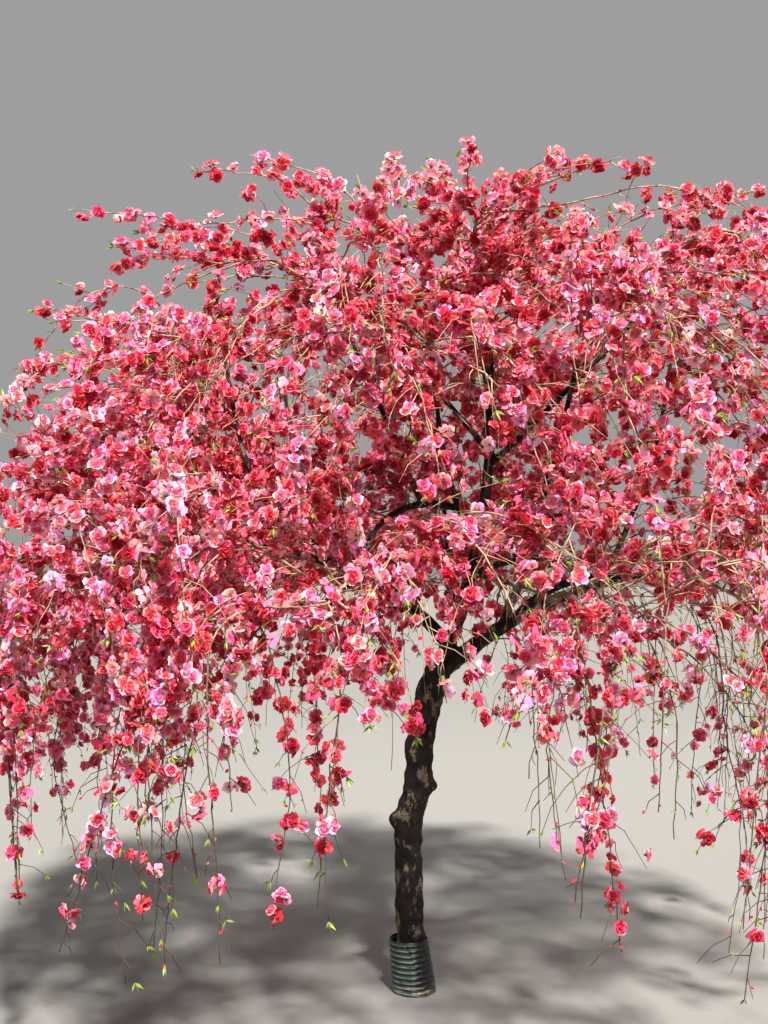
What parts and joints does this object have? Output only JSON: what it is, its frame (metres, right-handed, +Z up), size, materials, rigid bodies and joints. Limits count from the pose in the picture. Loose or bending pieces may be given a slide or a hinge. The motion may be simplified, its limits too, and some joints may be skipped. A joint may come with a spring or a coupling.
{
  "type": "weeping peach tree",
  "caption": "Small rooted weeping peach tree in full double pink blossom: leaning trunk in a ribbed plastic guard, arching boughs and hanging shoots.",
  "frame": {"origin": "middle of the flat cut under the trunk, at ground level", "axes": "+Z up, +X to the viewer's right and +Y away from the viewer, as in the picture"},
  "size_m": [2.9339, 2.8521, 2.677],
  "materials": {
    "bark": "rough dark bark",
    "blossom": "soft matte petals",
    "guard": "ribbed plastic"
  },
  "bodies": {
    "root": {"trunk": "bark", "trunk_guard": "guard", "leader": "bark", "bough_right": "bark", "bough_left": "bark", "bough_back": "bark", "bough_back_left": "bark", "bough_back_right": "bark", "bough_left_front": "bark", "bough_right_front": "bark", "bough_front_left": "bark", "bough_front_right": "bark", "riser_right": "bark", "riser_back_right": "bark", "riser_back": "bark", "riser_back_left": "bark", "riser_left": "bark", "riser_left_front": "bark", "riser_right_front": "bark", "riser_front": "bark", "high_right": "bark", "high_left": "bark", "high_back": "bark", "high_front": "bark", "blossom_leader": "blossom", "blossom_bough_right": "blossom", "blossom_bough_left": "blossom", "blossom_bough_back": "blossom", "blossom_bough_back_left": "blossom", "blossom_bough_back_right": "blossom", "blossom_bough_left_front": "blossom", "blossom_bough_right_front": "blossom", "blossom_bough_front_left": "blossom", "blossom_bough_front_right": "blossom", "blossom_riser_right": "blossom", "blossom_riser_back_right": "blossom", "blossom_riser_back": "blossom", "blossom_riser_back_left": "blossom", "blossom_riser_left": "blossom", "blossom_riser_left_front": "blossom", "blossom_riser_right_front": "blossom", "blossom_riser_front": "blossom", "blossom_high_right": "blossom", "blossom_high_left": "blossom", "blossom_high_back": "blossom", "blossom_high_front": "blossom"}
  },
  "joints": []
}
